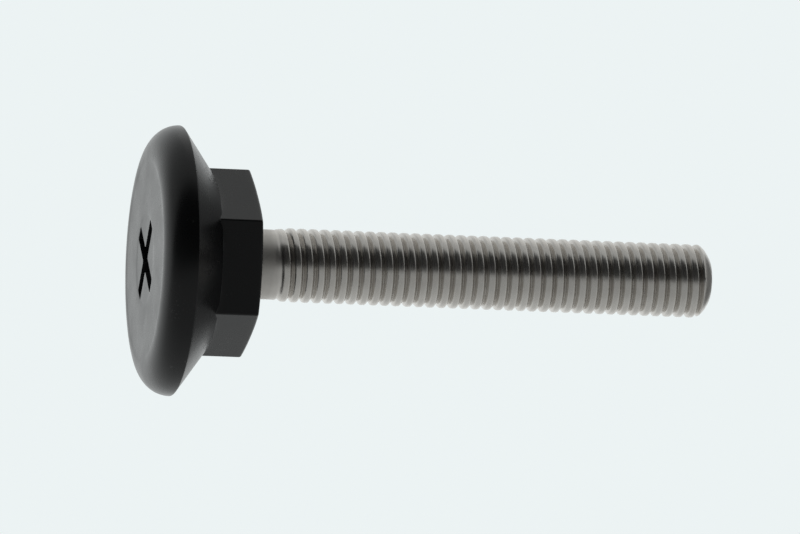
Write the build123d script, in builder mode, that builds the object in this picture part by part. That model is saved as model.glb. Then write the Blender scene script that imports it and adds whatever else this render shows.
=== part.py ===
from build123d import *

import math
import os

# Leveling foot: a black moulded base with a hex, and a steel M8 stud moulded into it.
#
# Units are millimetres. The foot stands on its base: the origin is the centre of the
# bottom face, +Z runs up the stud, and two corners of the hex lie on the X axis.
# The stud is smooth at its thread's nominal diameter: the fine helical thread isn't cut.

# Base: disc with a rounded lower edge, a conical shoulder, a narrow land and a hex for a spanner
disc_diameter = 29.0
rim_height = 3.2  # height of the sharp rim above the floor
edge_width = 3.35  # how far the rounded edge reaches in from the rim
shoulder_slope = 35.6  # degrees up from the horizontal
hex_across_flats = 17.5
land_width = 0.85  # how far the flat land at the hex's foot reaches out from the hex's flats
base_height = 11.2
hex_crown_slope = 8.0  # degrees, how the hex's top falls away towards its corners
hex_edge_round = 0.3  # soft moulded edges around the top of the hex

# Driver recess: a cross in the bottom face
cross_span = 9.6
cross_slot_width = 1.8
cross_depth = 1.8
cross_corner_round = 0.3
cross_turn = 34.0  # degrees from the X axis to the first arm
cross_draft = 4.0  # degrees, so that the moulding leaves its core

# Stud: M8 thread above a plain neck, with a curved tip
thread_diameter = 8.0
neck_step = 0.25  # how far the neck stands in from the thread
neck_length = 2.3  # plain stretch above the base, before the thread
stud_reach = 50.7  # from the top of the base to the tip
tip_length = 1.3
tip_width = 1.45  # how far the tip narrows on each side
tip_bulge = 0.2  # how far the tip's curve stands out from a straight chamfer

# Moulded-in end of the stud: a hex head that can't turn or pull out, and the plastic round it
head_wall = 2.25  # beside the head, between its flats and the hex's
head_cover = 1.4  # over the head, below the top of the base
head_floor = 3.0  # under the head, above the cross recess

# Heights and radii that follow
disc_radius = disc_diameter / 2
hex_flat_radius = hex_across_flats / 2
flat_radius = disc_radius - edge_width
land_radius = hex_flat_radius + land_width
land_height = rim_height + (disc_radius - land_radius) * math.tan(math.radians(shoulder_slope))
crown_drop = (disc_radius - hex_flat_radius) * math.tan(math.radians(hex_crown_slope))
head_across_flats = hex_across_flats - 2 * head_wall
head_bottom = cross_depth + head_floor
head_top = base_height - head_cover
thread_radius = thread_diameter / 2
neck_radius = thread_radius - neck_step
thread_start = base_height + neck_length
stud_top = base_height + stud_reach
thread_end = stud_top - tip_length
tip_face_radius = thread_radius - tip_width

os.makedirs("parts", exist_ok=True)

# The stud: neck, thread blank and curved tip turned about Z, on a hex head
with BuildPart() as threaded_stud:
    with BuildSketch(Plane.XY.offset(head_bottom)):
        RegularPolygon(head_across_flats / 2, side_count=6, major_radius=False)
    extrude(amount=head_top - head_bottom)

    with BuildSketch(Plane.XZ):
        with BuildLine():
            Line((0, stud_top), (tip_face_radius, stud_top))
            SagittaArc((tip_face_radius, stud_top), (thread_radius, thread_end), tip_bulge)
            Polyline(
                (thread_radius, thread_end),
                (thread_radius, thread_start),
                (neck_radius, thread_start),
                (neck_radius, head_top),
                (0, head_top),
                (0, stud_top),
            )
        make_face()
    revolve(axis=Axis.Z)

# The base: disc, shoulder and land turned about Z, a hex rising from them, moulded round the stud
with BuildPart() as base:
    with BuildSketch(Plane.XZ):
        with BuildLine():
            Line((0, 0), (flat_radius, 0))
            EllipticalCenterArc((flat_radius, rim_height), edge_width, rim_height, start_angle=-90)
            Polyline((disc_radius, rim_height), (land_radius, land_height), (0, land_height), (0, 0))
        make_face()
    revolve(axis=Axis.Z)

    with BuildSketch():
        RegularPolygon(hex_flat_radius, side_count=6, major_radius=False)
    extrude(amount=base_height)
    fillet(base.edges().group_by(Axis.Z)[-1], hex_edge_round)

    # The hex's top falls away a little towards its corners
    with BuildSketch(Plane.XZ):
        with BuildLine():
            Polyline(
                (hex_flat_radius, base_height),
                (disc_radius, base_height - crown_drop),
                (disc_radius, base_height),
                close=True,
            )
        make_face()
    revolve(axis=Axis.Z, mode=Mode.SUBTRACT)

    for bar_turn in (cross_turn, cross_turn + 90):
        with BuildSketch():
            RectangleRounded(cross_span, cross_slot_width, cross_corner_round, rotation=bar_turn)
        extrude(amount=cross_depth, taper=cross_draft, mode=Mode.SUBTRACT)

    add(threaded_stud.part, mode=Mode.SUBTRACT)

threaded_stud.part.label = "threaded_stud"
export_step(threaded_stud.part, "parts/threaded_stud.step")

base.part.label = "base"
export_step(base.part, "parts/base.step")
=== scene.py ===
# %% [markdown]
# # A leveling foot
#
# A leveling foot is the small adjustable foot under a table, a cabinet or a machine. Its black
# plastic base stands on the floor, and its steel stud screws up into the leg. Turning the hex with
# a spanner makes the leg longer or shorter.
#
# This lesson dresses a finished CAD model. The CAD holds the true sizes. Here every surface gets
# the shape, the soft edges and the finish that the eye expects, without leaving the CAD's box.

# %% Load the CAD frame
import math

import bmesh
import bpy
import numpy as np
from mathutils import Matrix, Vector


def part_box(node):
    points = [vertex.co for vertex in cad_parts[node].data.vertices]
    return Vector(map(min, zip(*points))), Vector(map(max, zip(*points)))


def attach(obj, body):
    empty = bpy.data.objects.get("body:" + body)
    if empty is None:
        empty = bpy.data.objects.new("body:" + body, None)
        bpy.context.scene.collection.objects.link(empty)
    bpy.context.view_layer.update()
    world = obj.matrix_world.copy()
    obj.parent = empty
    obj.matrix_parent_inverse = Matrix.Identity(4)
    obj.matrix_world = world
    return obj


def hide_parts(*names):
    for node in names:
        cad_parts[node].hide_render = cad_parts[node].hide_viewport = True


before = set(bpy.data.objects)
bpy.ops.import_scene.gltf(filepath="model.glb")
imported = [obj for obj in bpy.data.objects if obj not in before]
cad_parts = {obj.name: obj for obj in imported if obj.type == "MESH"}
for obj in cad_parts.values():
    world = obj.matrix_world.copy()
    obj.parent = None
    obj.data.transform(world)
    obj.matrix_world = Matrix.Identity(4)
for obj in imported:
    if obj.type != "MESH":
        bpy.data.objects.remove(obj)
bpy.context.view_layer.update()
_, base_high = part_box("base")
stud_low, stud_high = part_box("threaded_stud")
MM = 0.001
print("nodes:", sorted(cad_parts))

# %% [markdown]
# ## The sizes that everything shares
#
# A foot like this is turned about one axis, so almost every size is a radius or a height. Outer
# sizes come from the CAD's boxes. The ones that a box can't show are written here once, in metres.

# %% Name the sizes
disc_radius = base_high.x
base_height = base_high.z
rim_height = 3.2 * MM
edge_width = 3.35 * MM
shoulder_slope = math.radians(35.6)
hex_inner_radius = 8.75 * MM
land_radius = hex_inner_radius + 0.85 * MM
crown_radius = hex_inner_radius - 0.6 * MM
crown_slope = math.radians(8.0)

cross_span = 9.6 * MM
cross_slot_width = 1.8 * MM
cross_depth = 1.8 * MM
cross_turn = math.radians(34.0)
cross_draft = math.radians(4.0)

thread_radius = 4.0 * MM
neck_radius = 3.75 * MM
thread_start = base_height + 2.3 * MM
stud_top = stud_high.z
tip_length = 1.3 * MM
tip_width = 1.45 * MM
tip_bulge = 0.25 * MM

head_bottom = stud_low.z
head_top = base_height - 1.4 * MM
head_inner_radius = stud_high.y
print("stud stands", round((stud_top - base_height) / MM, 2), "mm above the base")

# %% [markdown]
# ## The camera
#
# A long lens from almost a metre away keeps a small part free of distortion, as in a catalogue
# picture. The foot is seen from the side and a little from below, so that its bottom face shows
# as a narrow ellipse, and the camera is rolled a quarter turn so that the stud lies level.

# %% Place the camera
view_tilt = math.radians(12.0)
view_roll = math.radians(2.25)
view_turn = math.radians(2.7)
view_distance = 0.9142
aim_height = 27.93 * MM
aim_side = 0.28 * MM
sensor_width = 36.0
focal_length = 382.5
clip_start = 0.05
clip_end = 20.0

along = Vector((0, 0, 1))
toward = Vector((-math.sin(view_turn), -math.cos(view_turn), 0))
across = Vector((math.cos(view_turn), -math.sin(view_turn), 0))
level = math.cos(view_tilt) * along + math.sin(view_tilt) * toward
right = math.cos(view_roll) * level - math.sin(view_roll) * across
down = math.sin(view_roll) * level + math.cos(view_roll) * across
forward = math.sin(view_tilt) * along - math.cos(view_tilt) * toward
aim = Vector((0, 0, aim_height)) - aim_side * down

camera = bpy.data.objects.new("camera", bpy.data.cameras.new("camera"))
bpy.context.scene.collection.objects.link(camera)
camera.data.sensor_width = sensor_width
camera.data.lens = focal_length
camera.data.clip_start = clip_start
camera.data.clip_end = clip_end
turn = Matrix((right, -down, -forward)).transposed().to_4x4()
camera.matrix_world = Matrix.Translation(aim - view_distance * forward) @ turn
bpy.context.scene.camera = camera
print("camera at", [round(value, 3) for value in camera.matrix_world.translation])

# %% [markdown]
# ## A node tree helper
#
# Materials, the world and Geometry Nodes are all trees of nodes. This small helper adds a node,
# sets its properties and fills or links its inputs, so that each recipe below reads as a list.

# %% Write the helper
def add_node(tree, kind, inputs=None, **properties):
    """Adds a node. Each input is named or numbered, and is a value or another node's output."""
    node = tree.nodes.new(kind)
    for name, value in properties.items():
        setattr(node, name, value)
    for name, value in (inputs or {}).items():
        if isinstance(value, bpy.types.NodeSocket):
            tree.links.new(value, node.inputs[name])
        else:
            node.inputs[name].default_value = value
    return node


def sums(tree, operation, *values):
    """The output of one Math node, with values or outputs as its inputs."""
    return add_node(tree, "ShaderNodeMath", dict(enumerate(values)), operation=operation).outputs[0]


# %% [markdown]
# ## The studio
#
# Black plastic and bright steel show little colour of their own: most of what the eye reads on
# them is a reflection. The studio therefore has a light overhead, a backdrop behind the foot, a
# pale table, and a little more light from far below. The rest of the camera's side is almost dark,
# and so is the end of the room past the stud's tip. The dark side draws the black band along the
# steel and keeps the plastic black.
#
# Each light is a band of the world. Its place is an angle round the line that runs along the
# stud: 0 is the camera's side, 90 degrees is overhead and -90 degrees is below.

# %% Set the lights' places and strengths
background_colour = (0.84, 0.895, 0.90, 1.0)
studio_colour = (0.97, 1.0, 1.0, 1.0)
overhead_dark = math.radians(65)
overhead_bright = math.radians(73)
overhead_strength = 0.50
backdrop_dark = math.radians(105)
backdrop_bright = math.radians(170)
backdrop_strength = 0.43
table_bright = math.radians(-11)
table_dark = math.radians(1)
table_strength = 0.37
below_bright = math.radians(-110)
below_dark = math.radians(-40)
below_strength = 0.18
room_strength = 0.022
dark_end_lean = 0.5
dark_end_starts = 0.80
dark_end_full = 0.94
dark_end_share = 0.14

# %% Light the world
world = bpy.data.worlds.new("studio")
bpy.context.scene.world = world
world.use_nodes = True
tree = world.node_tree
tree.nodes.clear()
direction = add_node(tree, "ShaderNodeTexCoord").outputs["Generated"]


def facing(axis):
    """How far a direction of the world faces an axis, from -1 to 1."""
    inputs = {0: direction, 1: axis}
    return add_node(tree, "ShaderNodeVectorMath", inputs, operation="DOT_PRODUCT").outputs["Value"]


def ramp(value, low, high, to_low=0.0, to_high=1.0):
    """A smooth step of a value, from to_low at low to to_high at high."""
    node = add_node(
        tree,
        "ShaderNodeMapRange",
        {"Value": value, "From Min": low, "From Max": high, "To Min": to_low, "To Max": to_high},
        interpolation_type="SMOOTHSTEP",
    )
    return node.outputs["Result"]


height = sums(tree, "ARCTAN2", facing(-down), facing(-forward))
overhead = ramp(height, overhead_dark, overhead_bright, 0.0, overhead_strength)
backdrop = ramp(sums(tree, "ABSOLUTE", height), backdrop_dark, backdrop_bright, 0.0, backdrop_strength)
table = ramp(height, table_bright, table_dark, table_strength, 0.0)
below = ramp(height, below_bright, below_dark, below_strength, 0.0)
lights = sums(tree, "ADD", sums(tree, "ADD", overhead, backdrop), sums(tree, "ADD", table, below))
past_tip_axis = (along + dark_end_lean * forward).normalized()
dark_end = ramp(facing(past_tip_axis), dark_end_starts, dark_end_full, 1.0, dark_end_share)
strength = sums(tree, "ADD", sums(tree, "MULTIPLY", lights, dark_end), room_strength)
studio_light = add_node(tree, "ShaderNodeBackground", {"Color": studio_colour, "Strength": strength})
seen_light = add_node(tree, "ShaderNodeBackground", {"Color": background_colour, "Strength": 1.0})
is_camera = add_node(tree, "ShaderNodeLightPath").outputs["Is Camera Ray"]
mixed = add_node(
    tree,
    "ShaderNodeMixShader",
    {0: is_camera, 1: studio_light.outputs[0], 2: seen_light.outputs[0]},
)
add_node(tree, "ShaderNodeOutputWorld", {"Surface": mixed.outputs[0]})

bpy.context.scene.view_settings.view_transform = "Standard"
print("world light set")

# %% Hang the lamp
softbox_place = -0.55 * down + 0.35 * forward + 0.1 * along
softbox_size = 0.5
softbox_power = 0.12
softbox_colour = (1.0, 0.98, 0.95)


def add_softbox(name, place, size, power, colour):
    """A square area lamp that looks at the middle of the foot."""
    lamp = bpy.data.lights.new(name, "AREA")
    lamp.shape = "SQUARE"
    lamp.size = size
    lamp.energy = power
    lamp.color = colour
    box = bpy.data.objects.new(name, lamp)
    bpy.context.scene.collection.objects.link(box)
    middle = Vector((0, 0, aim_height))
    look = (-place).to_track_quat("-Z", "Y").to_matrix().to_4x4()
    box.matrix_world = Matrix.Translation(middle + place) @ look


add_softbox("key_softbox", softbox_place, softbox_size, softbox_power, softbox_colour)

# %% [markdown]
# ## The floor
#
# The foot stands on a pale floor. The floor only shows from above: from below it lets the view
# and the light through, so that the bottom face can be seen. It fades out into the backdrop's
# own colour, so no horizon line crosses the picture.

# %% Lay the floor
floor_reach = 1.5
floor_fade_start = 0.10
floor_fade_end = 0.55
floor_drop = 0.02 * MM
floor_colour = (0.84, 0.87, 0.87, 1.0)
floor_glow = 0.35

floor_mesh = bpy.data.meshes.new("floor")
signs = [(-1, -1), (1, -1), (1, 1), (-1, 1)]
corners = [(x * floor_reach, y * floor_reach, -floor_drop) for x, y in signs]
floor_mesh.from_pydata(corners, [], [(0, 1, 2, 3)])
floor = bpy.data.objects.new("floor", floor_mesh)
bpy.context.scene.collection.objects.link(floor)

pale_floor = bpy.data.materials.new("pale_floor")
pale_floor.use_nodes = True
tree = pale_floor.node_tree
tree.nodes.clear()
distance = add_node(
    tree,
    "ShaderNodeVectorMath",
    {0: add_node(tree, "ShaderNodeTexCoord").outputs["Object"]},
    operation="LENGTH",
).outputs["Value"]
near = add_node(
    tree,
    "ShaderNodeMapRange",
    {
        "Value": distance,
        "From Min": floor_fade_start,
        "From Max": floor_fade_end,
        "To Min": 1.0,
        "To Max": 0.0,
    },
    interpolation_type="SMOOTHSTEP",
).outputs["Result"]
from_above = sums(tree, "SUBTRACT", 1.0, add_node(tree, "ShaderNodeNewGeometry").outputs["Backfacing"])
seen = sums(tree, "MULTIPLY", from_above, add_node(tree, "ShaderNodeLightPath").outputs["Is Camera Ray"])
shown = sums(tree, "MULTIPLY", seen, near)
matt = add_node(tree, "ShaderNodeBsdfDiffuse", {"Color": floor_colour})
glow = add_node(tree, "ShaderNodeEmission", {"Color": background_colour, "Strength": floor_glow})
paper = add_node(tree, "ShaderNodeAddShader", {0: matt.outputs[0], 1: glow.outputs[0]})
clear = add_node(tree, "ShaderNodeBsdfTransparent")
surface = add_node(tree, "ShaderNodeMixShader", {0: shown, 1: clear.outputs[0], 2: paper.outputs[0]})
add_node(tree, "ShaderNodeOutputMaterial", {"Surface": surface.outputs[0]})
floor.data.materials.append(pale_floor)
print("floor laid")

# %% [markdown]
# ## The black plastic
#
# The base is a satin moulding. Its mould was finely blasted, so the skin has a grain a few
# hundredths of a millimetre across, and it flows a little unevenly, which shows as slow waves in
# the reflections. Handling leaves faint pale scuffs here and there, and one patch of scrapes on
# the shoulder beside the hex.
#
# Heights of the relief are in metres, and a noise's scale is how many features fit in one metre.

# %% Write the material helpers
def new_material(name):
    """An empty material with a Principled shader, and its Object coordinates."""
    material = bpy.data.materials.new(name)
    material.use_nodes = True
    tree = material.node_tree
    tree.nodes.clear()
    shader = add_node(tree, "ShaderNodeBsdfPrincipled")
    add_node(tree, "ShaderNodeOutputMaterial", {"Surface": shader.outputs[0]})
    place = add_node(tree, "ShaderNodeTexCoord").outputs["Object"]
    return material, tree, shader, place


def noise(tree, place, scale, detail=3.0, roughness=0.5, stretch=(1.0, 1.0, 1.0)):
    """Noise from 0 to 1 on Object coordinates. scale is how many features fit in one metre."""
    mapped = add_node(tree, "ShaderNodeMapping", {"Vector": place, "Scale": stretch})
    node = add_node(
        tree,
        "ShaderNodeTexNoise",
        {"Vector": mapped.outputs[0], "Scale": scale, "Detail": detail, "Roughness": roughness},
    )
    return node.outputs["Fac"]


def spread(tree, value, low, high, to_low, to_high):
    """Maps a value's range onto another, clamped at both ends."""
    node = add_node(
        tree,
        "ShaderNodeMapRange",
        {"Value": value, "From Min": low, "From Max": high, "To Min": to_low, "To Max": to_high},
    )
    return node.outputs["Result"]


def relief_of(tree, *layers):
    """The sum of some patterns, each with its own height."""
    total = 0.0
    for pattern, height in layers:
        total = sums(tree, "MULTIPLY_ADD", pattern, height, total)
    return total


def dress(tree, shader, colour, roughness, relief):
    """Gives the shader its colour, roughness and relief."""
    bump = add_node(tree, "ShaderNodeBump", {"Height": relief, "Distance": 1.0, "Strength": 1.0})
    tree.links.new(colour, shader.inputs["Base Color"])
    tree.links.new(roughness, shader.inputs["Roughness"])
    tree.links.new(bump.outputs[0], shader.inputs["Normal"])


def blend_colours(tree, share, first, second):
    """A colour between two others."""
    node = add_node(tree, "ShaderNodeMix", {"Factor": share}, data_type="RGBA")
    for socket, value in ((node.inputs[6], first), (node.inputs[7], second)):
        if isinstance(value, bpy.types.NodeSocket):
            tree.links.new(value, socket)
        else:
            socket.default_value = value
    return node.outputs[2]


print("material helpers ready")

# %% Mix the black plastic
plastic_dark = (0.0042, 0.0042, 0.0046, 1.0)
plastic_light = (0.0066, 0.0066, 0.0070, 1.0)
scuffed_colour = (0.16, 0.155, 0.15, 1.0)
scuff_cover = 0.35
scuff_roughness = 0.2
grain_height = 0.0025 * MM
wave_height = 0.02 * MM
scuff_height = 0.01 * MM
scrape_place = (-8.8 * MM, -6.0 * MM, 6.0 * MM)
scrape_inner = 0.8 * MM
scrape_outer = 2.8 * MM
plastic_ior = 1.38

black_plastic, tree, shader, place = new_material("satin_black_plastic")
grain = noise(tree, place, 9000, detail=2.0)
mottle = noise(tree, place, 260, detail=4.0)
waves = noise(tree, place, 110, detail=1.0)
scuff_patch = spread(tree, noise(tree, place, 420, detail=2.0), 0.60, 0.74, 0.0, 1.0)
scuff_grit = spread(tree, noise(tree, place, 3200, detail=5.0, roughness=0.7), 0.56, 0.70, 0.0, 1.0)
scuffs = sums(tree, "MULTIPLY", scuff_patch, scuff_grit)
from_scrape = add_node(
    tree,
    "ShaderNodeVectorMath",
    {0: place, 1: scrape_place},
    operation="DISTANCE",
).outputs["Value"]
scrape_patch = spread(tree, from_scrape, scrape_inner, scrape_outer, 1.0, 0.0)
scrape_grit = spread(tree, noise(tree, place, 2600, detail=4.0, roughness=0.6), 0.52, 0.62, 0.0, 1.0)
scrapes = sums(tree, "MULTIPLY", scrape_patch, scrape_grit)
scuffs = sums(tree, "MAXIMUM", scuffs, scrapes)
skin = blend_colours(tree, mottle, plastic_dark, plastic_light)
skin = blend_colours(tree, sums(tree, "MULTIPLY", scuffs, scuff_cover), skin, scuffed_colour)
satin = spread(tree, mottle, 0.3, 0.7, 0.24, 0.31)
roughness = sums(tree, "MULTIPLY_ADD", scuffs, scuff_roughness, satin)
relief = relief_of(tree, (grain, grain_height), (waves, wave_height), (scuffs, scuff_height))
dress(tree, shader, skin, roughness, relief)
shader.inputs["IOR"].default_value = plastic_ior
print("material:", black_plastic.name)

# %% [markdown]
# ## The steel
#
# The stud is bright stainless steel. Its thread is rolled, so the metal is smooth but not
# polished: fine lines run round it where it slid between the dies. The groove's depth is stored on
# the mesh, and the material reads it to paint shade into the bottom of the grooves, darker and
# rougher at the roots. The neck below the thread was never rolled, so it is duller.

# %% Mix the steel
steel_dark = (0.53, 0.50, 0.465, 1.0)
steel_light = (0.66, 0.64, 0.61, 1.0)
# Painted shade for the thread's roots: its colour, the groove depth where it starts, its most share and the
# roughness it adds
root_shade_colour = (0.20, 0.18, 0.16, 1.0)
root_shade_starts = 0.75
root_shade_most = 0.6
root_shade_roughness = 0.25
line_height = 0.006 * MM
pit_height = 0.0025 * MM
neck_roughness = 0.26
neck_dull_below = thread_start - 0.3 * MM
neck_bright_above = thread_start + 0.9 * MM

stainless_steel, tree, shader, place = new_material("rolled_steel")
tarnish = noise(tree, place, 520, detail=4.0)
lines = noise(tree, place, 700, detail=3.0, stretch=(1.0, 1.0, 22.0))
pits = noise(tree, place, 6500, detail=3.0)
groove = add_node(tree, "ShaderNodeAttribute", attribute_name="groove").outputs["Fac"]
metal = blend_colours(tree, tarnish, steel_dark, steel_light)
# Painted shade: the thread's roots are darkened with the groove's depth, a little unevenly by the tarnish
# noise
deep = spread(tree, groove, root_shade_starts, 1.0, 0.0, root_shade_most)
root_shade = sums(tree, "MULTIPLY", deep, spread(tree, tarnish, 0.3, 0.7, 0.5, 1.0))
metal = blend_colours(tree, root_shade, metal, root_shade_colour)
rolled = spread(tree, lines, 0.25, 0.75, 0.23, 0.34)
roughness = sums(tree, "MULTIPLY_ADD", root_shade, root_shade_roughness, rolled)
up_the_stud = add_node(tree, "ShaderNodeSeparateXYZ", {"Vector": place}).outputs["Z"]
neck_wear = spread(tree, up_the_stud, neck_dull_below, neck_bright_above, neck_roughness, 0.0)
roughness = sums(tree, "ADD", roughness, neck_wear)
dress(tree, shader, metal, roughness, relief_of(tree, (lines, line_height), (pits, pit_height)))
shader.inputs["Metallic"].default_value = 1.0
print("material:", stainless_steel.name)

# %% [markdown]
# ## The base
#
# The real base is one moulding: a disc with a rounded lower edge, a conical shoulder that meets it
# in a sharp rim, a narrow flat land and a hex. Seen from its axis, every direction meets each of
# these surfaces exactly once, even the hex's flats. So the base can be wrapped like a turned shape,
# from rings whose radius may change with the angle. That keeps the mesh clean, with no cut through
# the shoulder, and lets every edge have its own small round.

# %% Describe the hex and its rounded corners
HEX_SECTOR = math.radians(60)
hex_corner_round = 0.22 * MM


def hex_radius(angle, inner_radius, corner_round):
    """How far a hexagon's side is from the axis at an angle. Its corners are at 0, 60, 120 degrees."""
    from_flat = (angle % HEX_SECTOR) - HEX_SECTOR / 2
    half_side = (inner_radius - corner_round) * math.tan(HEX_SECTOR / 2)
    if abs(from_flat) <= math.atan2(half_side, inner_radius):
        return inner_radius / math.cos(from_flat)
    from_corner = HEX_SECTOR / 2 - abs(from_flat)
    centre = (inner_radius - corner_round) / math.cos(HEX_SECTOR / 2)
    aside = centre * math.sin(from_corner)
    return centre * math.cos(from_corner) + math.sqrt(corner_round**2 - aside**2)


def ring_angles(steps_per_sector, corner_steps, corner_reach):
    """Angles round the axis, closer together beside the hex's six corners."""
    near = [corner_reach * step / corner_steps for step in range(corner_steps)]
    middle = np.linspace(corner_reach, HEX_SECTOR - corner_reach, steps_per_sector)
    sector = [*near, *middle, *[HEX_SECTOR - value for value in reversed(near[1:])]]
    return [index * HEX_SECTOR + value for index in range(6) for value in sector]


angles = ring_angles(40, 6, math.radians(1.0))
across_corners = 2 * hex_radius(0, hex_inner_radius, hex_corner_round)
print("hex across corners:", round(across_corners / MM, 2), "mm")

# %% Draw the base's outline at one angle
rim_round = 0.09 * MM
land_round = 0.12 * MM
foot_fillet = 0.25 * MM
hex_edge_round = 0.3 * MM
mouth_round = 0.15 * MM
sink_depth = 0.04 * MM
sink_radius = 5.3 * MM
sink_slope_width = 0.8 * MM
sink_floor_radius = sink_radius - sink_slope_width
hollow_depth = 0.035 * MM
hollow_radius = 11.1 * MM
hollow_slope_width = 0.7 * MM
hollow_floor_radius = hollow_radius - hollow_slope_width
smallest_round = 0.001 * MM
arc_steps = 22


def corner(before, point, after, radius, steps):
    """Points of a round that replaces a corner, between the lines to the points before and after."""
    before, point, after = (Vector(p) for p in (before, point, after))
    if radius < smallest_round:
        return [point] * (steps + 1)
    inward, outward = (before - point).normalized(), (after - point).normalized()
    half = inward.angle(outward) / 2
    setback = radius / math.tan(half)
    start, end = point + inward * setback, point + outward * setback
    centre = point + (inward + outward).normalized() * (radius / math.sin(half))
    first, last = start - centre, end - centre
    sweep = first.angle(last)
    points = []
    for step in range(steps + 1):
        share = step / steps
        spoke = (first * math.sin((1 - share) * sweep) + last * math.sin(share * sweep)) / math.sin(sweep)
        points.append(centre + spoke)
    return points


def line(start, end, steps):
    """Points between two ends, without the ends themselves."""
    start, end = Vector(start), Vector(end)
    return [start.lerp(end, step / steps) for step in range(1, steps)]


def smooth_share(value):
    """Eases a value into a share from 0 to 1."""
    share = min(max(value, 0.0), 1.0)
    return share * share * (3 - 2 * share)


def sink(radius):
    """How far the bottom face stands in: hollow inside its contact ring, sunk round the cross."""
    hollow = hollow_depth * smooth_share((hollow_radius - radius) / hollow_slope_width)
    return hollow + sink_depth * smooth_share((sink_radius - radius) / sink_slope_width)


def bottom_face(start, end, count):
    """Points of the bottom face from one radius to another."""
    return [Vector((radius, sink(radius))) for radius in np.linspace(start, end, count)]


def base_outline(angle):
    """The base's section at one angle, from the middle of the bottom face round to the cavity."""
    hex_r = hex_radius(angle, hex_inner_radius, hex_corner_round)
    head_r = hex_radius(angle, head_inner_radius, 0.0)
    flat_r = disc_radius - edge_width
    slope = math.tan(shoulder_slope)
    rim = (disc_radius, rim_height)
    shoulder_r = max(hex_r, land_radius)
    shoulder_end = (shoulder_r, rim_height + (disc_radius - shoulder_r) * slope)
    foot = (hex_r, shoulder_end[1])
    land_width = shoulder_r - hex_r
    crown = (hex_r, base_height - (hex_r - hex_inner_radius) * math.tan(crown_slope))
    crown_end = (crown_radius, base_height)

    points = bottom_face(0, sink_floor_radius, 6)[1:-1]
    points += bottom_face(sink_floor_radius, sink_radius, 8)
    points += bottom_face(sink_radius, hollow_floor_radius, 7)[1:]
    points += bottom_face(hollow_floor_radius, hollow_radius, 8)[1:]

    for step in range(arc_steps):
        turn = math.pi / 2 * step / arc_steps
        arc_r = flat_r + edge_width * math.sin(turn)
        points.append(Vector((arc_r, rim_height * (1 - math.cos(turn)))))
    points += corner((disc_radius, 0), rim, shoulder_end, rim_round, 4)
    points += line(points[-1], shoulder_end, 14)[:-1]
    if land_width > 0:
        points += corner(rim, shoulder_end, foot, min(land_round, land_width / 2), 4)
        points += corner(shoulder_end, foot, crown, min(foot_fillet, land_width / 2), 4)
    else:
        points += [Vector(shoulder_end)] * 5
        points += corner(rim, foot, crown, min(foot_fillet, (hex_r - land_radius) / 2), 4)
    points += line(points[-1], (hex_r, crown[1] - hex_edge_round), 8)
    points += corner(foot, crown, crown_end, hex_edge_round, 6)
    points += [Vector(crown_end), *line(crown_end, (neck_radius + mouth_round, base_height), 5)]
    points += corner(crown_end, (neck_radius, base_height), (neck_radius, head_top), mouth_round, 3)
    points += [Vector((neck_radius, head_top)), Vector((head_r, head_top)), Vector((head_r, head_bottom))]
    return points


print("rings in the base:", len(base_outline(0.0)))

# %% Wrap the outlines into the base's mesh
merge_distance = 0.001 * MM


def wrap(name, outlines, angles, first_pole, last_pole):
    """A closed mesh from one outline for each angle, with a pole on the axis at both ends."""
    rings = len(outlines[0])
    count = len(angles)
    vertices = [(0, 0, first_pole)]
    for ring in range(rings):
        for outline, angle in zip(outlines, angles):
            radius, height = outline[ring]
            vertices.append((radius * math.cos(angle), radius * math.sin(angle), height))
    vertices.append((0, 0, last_pole))
    last = len(vertices) - 1
    faces = []
    for side in range(count):
        after = (side + 1) % count
        faces.append((0, 1 + after, 1 + side))
        for ring in range(rings - 1):
            start = 1 + ring * count
            faces.append((start + side, start + after, start + count + after, start + count + side))
        start = 1 + (rings - 1) * count
        faces.append((last, start + side, start + after))
    mesh = bpy.data.meshes.new(name)
    mesh.from_pydata(vertices, [], faces)
    piece = bpy.data.objects.new(name, mesh)
    bpy.context.scene.collection.objects.link(piece)
    return piece


def tidy_mesh(piece):
    """Merges doubles, drops faces without area and points the normals outwards."""
    work = bmesh.new()
    work.from_mesh(piece.data)
    bmesh.ops.remove_doubles(work, verts=work.verts, dist=merge_distance)
    bmesh.ops.dissolve_degenerate(work, dist=merge_distance, edges=work.edges)
    bmesh.ops.recalc_face_normals(work, faces=work.faces)
    open_edges = sum(1 for edge in work.edges if not edge.is_manifold)
    volume = work.calc_volume()
    work.to_mesh(piece.data)
    work.free()
    faces = len(piece.data.polygons)
    print(piece.name, "faces", faces, "open edges", open_edges, "mm3", round(volume / MM**3, 1))


outlines = [base_outline(angle) for angle in angles]
foot_base = wrap("foot_base", outlines, angles, sink(0.0), head_bottom)
tidy_mesh(foot_base)

# %% [markdown]
# ## The cross recess
#
# The cross in the bottom face takes a large cross-point driver, so the foot can also be turned from
# below. In the mould it is one upright core with a little draft. Here it is a cutter of the
# same shape, and a Boolean modifier takes it out of the base.

# %% Cut the cross
cross_overcut = 0.5 * MM
cross_end_round = 0.3 * MM


def cross_outline(grow):
    """The cross seen from below, with rounded ends and corners, moved out by grow."""
    half_span = cross_span / 2 + grow
    half_slot = cross_slot_width / 2 + grow
    arm_corners = ((half_slot, -half_slot), (half_span, -half_slot), (half_span, half_slot))
    sharp = []
    for arm in range(4):
        turn = Matrix.Rotation(cross_turn + arm * math.pi / 2, 2)
        sharp += [turn @ Vector(p) for p in arm_corners]
    points = []
    for index, point in enumerate(sharp):
        before, after = sharp[index - 1], sharp[(index + 1) % len(sharp)]
        points += corner(before, point, after, cross_end_round, 3)
    return points


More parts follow.
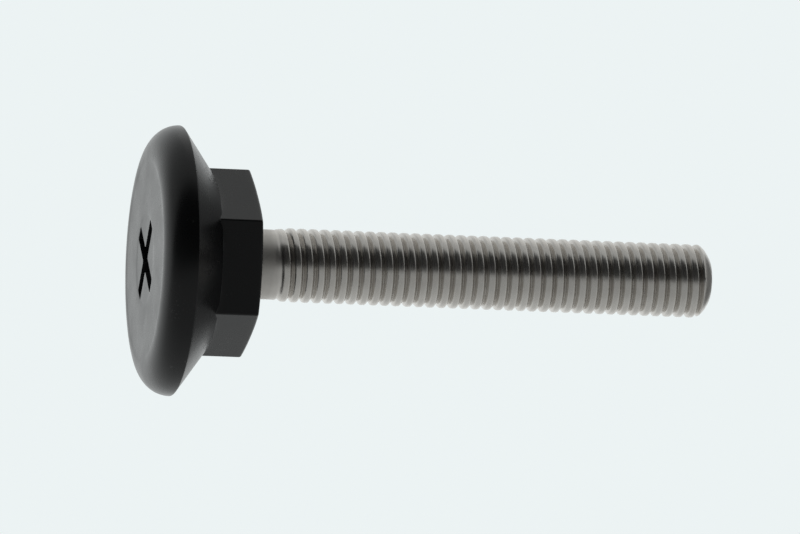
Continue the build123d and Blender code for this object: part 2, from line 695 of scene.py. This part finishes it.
def cutter_mesh(name, low, high):
    """A closed prism between the cross at two heights, with the draft between them."""
    work = bmesh.new()
    loops = []
    for height in (low, high):
        outline = cross_outline(-height * math.tan(cross_draft))
        loops.append([work.verts.new((p.x, p.y, height)) for p in outline])
    bottom, top = loops
    count = len(bottom)
    for index in range(count):
        after = (index + 1) % count
        work.faces.new((bottom[index], bottom[after], top[after], top[index]))
    work.faces.new(list(reversed(bottom)))
    work.faces.new(top)
    bmesh.ops.recalc_face_normals(work, faces=work.faces)
    mesh = bpy.data.meshes.new(name)
    work.to_mesh(mesh)
    work.free()
    piece = bpy.data.objects.new(name, mesh)
    bpy.context.scene.collection.objects.link(piece)
    return piece


def keep_result(piece):
    """Puts the evaluated shape into the piece's own mesh and takes the modifiers off."""
    evaluated = piece.evaluated_get(bpy.context.evaluated_depsgraph_get())
    mesh = bpy.data.meshes.new_from_object(evaluated)
    mesh.name = piece.name
    piece.modifiers.clear()
    piece.data = mesh


cutter = cutter_mesh("cross_cutter", -cross_overcut, cross_depth)
cut = foot_base.modifiers.new("cross", "BOOLEAN")
cut.operation = "DIFFERENCE"
cut.solver = "EXACT"
cut.object = cutter
keep_result(foot_base)
bpy.data.objects.remove(cutter)
tidy_mesh(foot_base)

# %% Finish the base
SHARP_EDGE = math.radians(40)


def finish_piece(piece, material, node):
    """Smooth shading, the finish, and the CAD node that the piece stands for."""
    piece.data.materials.clear()
    piece.data.materials.append(material)
    piece.data.shade_smooth()
    piece.data.set_sharp_from_angle(angle=SHARP_EDGE)
    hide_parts(node)
    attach(piece, "root")
    triangles = sum(len(face.vertices) - 2 for face in piece.data.polygons)
    print(piece.name, "stands for", node, "with", triangles, "triangles")


finish_piece(foot_base, black_plastic, "base")

# %% [markdown]
# ## The threaded stud
#
# A screw thread follows a rule: every point of its surface depends only on the height, less one
# pitch for each turn round the axis. That makes it a good shape for Geometry Nodes. The tree
# starts from a flat grid. One side of the grid is wrapped round the axis and the other runs up the
# stud, sheared so that each row of the grid climbs along the helix. Then each point's radius
# is set from its place in the thread's profile: 60 degree flanks, with the crest and the root
# rounded as rolling leaves them.

# %% Set the thread's sizes
pitch = 1.25 * MM
crest_radius = 3.97 * MM
root_radius = 3.34 * MM
crest_flat = 0.50
crest_softness = 0.40 * MM
root_softness = 0.14 * MM
crest_height = 0.12 * MM
run_in = 2.2 * MM
half_flank_angle = math.radians(30)
columns = 96
rows_per_turn = 14
grid_merge = 0.002 * MM
print("thread depth:", round((crest_radius - root_radius) / MM, 3), "mm")

# %% Build the thread's node tree
thread_tree = bpy.data.node_groups.new("rolled_thread", "GeometryNodeTree")
thread_tree.interface.new_socket("Geometry", in_out="OUTPUT", socket_type="NodeSocketGeometry")
thread_inputs = {
    "Columns": columns,
    "Rows per Turn": rows_per_turn,
    "Bottom": head_top,
    "Top": stud_top,
    "Pitch": pitch,
    "Crest Radius": crest_radius,
    "Root Radius": root_radius,
    "Neck Radius": neck_radius,
    "Crest Flat": crest_flat,
    "Crest Softness": crest_softness,
    "Root Softness": root_softness,
    "Crest Height": crest_height,
    "Thread Start": thread_start,
    "Run In": run_in,
    "Tip Radius": thread_radius,
    "Tip Length": tip_length,
    "Tip Width": tip_width,
    "Tip Bulge": tip_bulge,
}
for name, value in thread_inputs.items():
    kind = "NodeSocketInt" if isinstance(value, int) else "NodeSocketFloat"
    thread_tree.interface.new_socket(name, in_out="INPUT", socket_type=kind)
material_socket = thread_tree.interface.new_socket(
    "Material",
    in_out="INPUT",
    socket_type="NodeSocketMaterial",
)
tree = thread_tree
given = add_node(tree, "NodeGroupInput").outputs
add, subtract, multiply, divide = "ADD", "SUBTRACT", "MULTIPLY", "DIVIDE"

# How many rows reach from one pitch below the bottom to the top
row_height = sums(tree, divide, given["Pitch"], given["Rows per Turn"])
climb = sums(tree, add, sums(tree, subtract, given["Top"], given["Bottom"]), given["Pitch"])
rows = sums(tree, "CEIL", sums(tree, divide, climb, row_height))
grid = add_node(
    tree,
    "GeometryNodeMeshGrid",
    {
        "Size X": 1.0,
        "Size Y": 1.0,
        "Vertices X": sums(tree, add, given["Columns"], 1.0),
        "Vertices Y": sums(tree, add, rows, 1.0),
    },
)
grid_place = add_node(tree, "GeometryNodeInputPosition").outputs[0]
flat = add_node(tree, "ShaderNodeSeparateXYZ", {0: grid_place})
turns = sums(tree, add, flat.outputs["X"], 0.5)
whole_climb = sums(tree, multiply, rows, row_height)
climbed = sums(tree, multiply, sums(tree, add, flat.outputs["Y"], 0.5), whole_climb)

# The height of each point, sheared along the helix and held between the two ends
sheared = sums(tree, add, climbed, sums(tree, multiply, turns, given["Pitch"]))
raised = sums(tree, add, sums(tree, subtract, given["Bottom"], given["Pitch"]), sheared)
height = sums(tree, "MINIMUM", sums(tree, "MAXIMUM", raised, given["Bottom"]), given["Top"])

# The radius, from the place in the profile: 1 at the crest and 0 at the root
past_crest = sums(tree, subtract, height, given["Crest Height"])
lead = sums(tree, subtract, sums(tree, divide, past_crest, given["Pitch"]), turns)
from_root = sums(tree, "ABSOLUTE", sums(tree, subtract, sums(tree, "FRACT", lead), 0.5))
flank_height = sums(tree, multiply, given["Pitch"], math.cos(half_flank_angle))
sharp_crest = sums(tree, add, given["Crest Radius"], sums(tree, multiply, flank_height, given["Crest Flat"]))
from_crest = sums(tree, subtract, 1.0, sums(tree, multiply, from_root, 2.0))
down_flank = sums(tree, multiply, from_crest, flank_height)
flank = sums(tree, subtract, sharp_crest, down_flank)
rooted = sums(tree, "SMOOTH_MAX", flank, given["Root Radius"], given["Root Softness"])
threaded = sums(tree, "SMOOTH_MIN", rooted, given["Crest Radius"], given["Crest Softness"])

# The thread fades in from the neck
into_thread = add_node(
    tree,
    "ShaderNodeMapRange",
    {
        "Value": height,
        "From Min": given["Thread Start"],
        "From Max": sums(tree, add, given["Thread Start"], given["Run In"]),
    },
    interpolation_type="SMOOTHSTEP",
).outputs["Result"]
depth = sums(tree, multiply, into_thread, sums(tree, subtract, threaded, given["Neck Radius"]))
turned = sums(tree, add, given["Neck Radius"], depth)

# The tip's curved chamfer cuts the thread off
past_tip = sums(tree, subtract, height, sums(tree, subtract, given["Top"], given["Tip Length"]))
tip_share = sums(tree, "MAXIMUM", sums(tree, divide, past_tip, given["Tip Length"]), 0.0)
bulge = sums(tree, multiply, sums(tree, multiply, tip_share, sums(tree, subtract, 1.0, tip_share)), 4.0)
narrowed = sums(tree, subtract, given["Tip Radius"], sums(tree, multiply, given["Tip Width"], tip_share))
tip_limit = sums(tree, add, narrowed, sums(tree, multiply, bulge, given["Tip Bulge"]))
radius = sums(tree, "MINIMUM", turned, tip_limit)

# Wrap the grid round the axis
angle = sums(tree, multiply, turns, 2 * math.pi)
wrapped = add_node(
    tree,
    "ShaderNodeCombineXYZ",
    {
        "X": sums(tree, multiply, radius, sums(tree, "COSINE", angle)),
        "Y": sums(tree, multiply, radius, sums(tree, "SINE", angle)),
        "Z": height,
    },
)
full_depth = sums(tree, subtract, given["Crest Radius"], given["Root Radius"])
groove_depth = sums(tree, divide, sums(tree, subtract, given["Crest Radius"], radius), full_depth)
in_thread = sums(tree, "LESS_THAN", past_tip, 0.0)
stored = add_node(
    tree,
    "GeometryNodeStoreNamedAttribute",
    {
        "Geometry": grid.outputs["Mesh"],
        "Name": "groove",
        "Value": sums(tree, multiply, sums(tree, multiply, groove_depth, into_thread), in_thread),
    },
    data_type="FLOAT",
    domain="POINT",
)

# The finishing nodes, each taking the geometry of the one before
shape = stored.outputs[0]
for kind, inputs in (
    ("GeometryNodeSetPosition", {"Position": wrapped.outputs[0]}),
    ("GeometryNodeMergeByDistance", {"Distance": grid_merge}),
    ("GeometryNodeRealizeInstances", {}),
    ("GeometryNodeSetMaterial", {"Material": given["Material"]}),
):
    shape = add_node(tree, kind, {"Geometry": shape, **inputs}).outputs[0]
add_node(tree, "NodeGroupOutput", {"Geometry": shape})
print("thread tree has", len(tree.nodes), "nodes")

# %% Grow the thread
stud = bpy.data.objects.new("stud", bpy.data.meshes.new("stud"))
bpy.context.scene.collection.objects.link(stud)
growth = stud.modifiers.new("thread", "NODES")
growth.node_group = thread_tree
for item in thread_tree.interface.items_tree:
    if item.in_out == "INPUT" and item.name in thread_inputs:
        growth[item.identifier] = thread_inputs[item.name]
growth[material_socket.identifier] = stainless_steel
keep_result(stud)
print("thread has", len(stud.data.vertices), "points")

# %% [markdown]
# ## The stud's two ends
#
# The tree leaves the stud open at both ends. The tip gets a flat face. The lower end sits
# in the plastic, where a hex head keeps it from turning, and nobody sees it, so the head is
# drawn out of the open edge with plain mesh code.

# %% Close the tip and draw out the head
same_height = 0.01 * MM
inner_share = 0.6


def head_radius(angle):
    """How far the moulded-in head reaches at an angle."""
    return hex_radius(angle, head_inner_radius, 0.0)


def ring_at(work, height):
    """The open edge's points at a height, in order round the axis."""
    edge_points = {v for e in work.edges if e.is_boundary for v in e.verts}
    found = [v for v in edge_points if abs(v.co.z - height) < same_height]
    return sorted(found, key=lambda v: math.atan2(v.co.y, v.co.x))


def next_ring(work, ring, radius_at, height):
    """Draws a ring out to a new radius and height, and returns the new ring."""
    new = []
    for vertex in ring:
        angle = math.atan2(vertex.co.y, vertex.co.x)
        radius = radius_at(angle)
        new.append(work.verts.new((radius * math.cos(angle), radius * math.sin(angle), height)))
    for index in range(len(ring)):
        after = (index + 1) % len(ring)
        work.faces.new((ring[index], ring[after], new[after], new[index]))
    return new


def close_ring(work, ring, height):
    """Closes a ring with triangles to a point on the axis."""
    pole = work.verts.new((0, 0, height))
    for index in range(len(ring)):
        work.faces.new((ring[index], ring[(index + 1) % len(ring)], pole))


work = bmesh.new()
work.from_mesh(stud.data)
tip_ring = ring_at(work, stud_top)
neck_ring = ring_at(work, head_top)
face_radius = thread_radius - tip_width
inner_ring = next_ring(work, tip_ring, lambda angle: inner_share * face_radius, stud_top)
close_ring(work, inner_ring, stud_top)
head_ring = next_ring(work, neck_ring, head_radius, head_top)
foot_ring = next_ring(work, head_ring, head_radius, head_bottom)
close_ring(work, foot_ring, head_bottom)
work.to_mesh(stud.data)
work.free()
print("rings closed:", len(tip_ring), len(neck_ring))

# %% Finish the stud
tidy_mesh(stud)
finish_piece(stud, stainless_steel, "threaded_stud")
